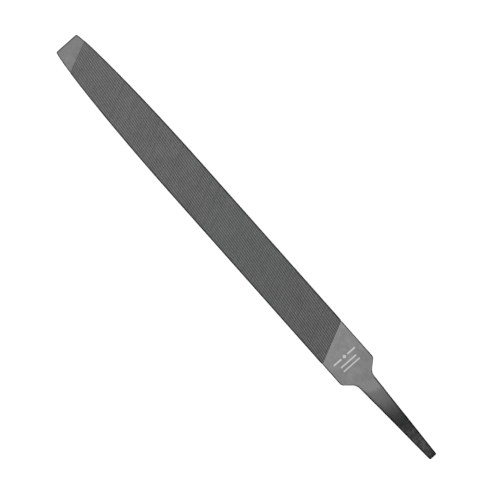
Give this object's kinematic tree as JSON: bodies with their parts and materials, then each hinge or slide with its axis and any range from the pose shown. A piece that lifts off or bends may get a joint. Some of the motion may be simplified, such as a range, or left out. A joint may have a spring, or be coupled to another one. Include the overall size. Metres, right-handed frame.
{
  "type": "flat file",
  "caption": "Flat hand file: a long bar, tapered to a bare square point, with slanted parallel teeth on faces and edges, a bare heel, sloping shoulders and a tapered tang.",
  "frame": {"origin": "centre of the overall length and width, on the plane that the lower face rests on", "axes": "+X from the tang to the point along the middle of the file, +Z out of the upper face, +Y towards the left edge"},
  "size_m": [0.3204, 0.0254, 0.0064],
  "materials": {
    "bare_steel": "finely sandblasted hardened carbon steel, satin mid grey",
    "cut_steel": "chisel-cut hardened carbon steel, dark grey between bright tooth crests",
    "tang_steel": "softened tang with dark forge scale, fading to bare grey at the shoulder"
  },
  "bodies": {
    "root": {"point": "bare_steel", "blade": "cut_steel", "upper_tapered_cut": "cut_steel", "upper_parallel_cut": "cut_steel", "lower_tapered_cut": "cut_steel", "lower_parallel_cut": "cut_steel", "left_cut_edge": "cut_steel", "right_cut_edge": "cut_steel", "heel": "bare_steel", "tang": "tang_steel"}
  },
  "joints": []
}
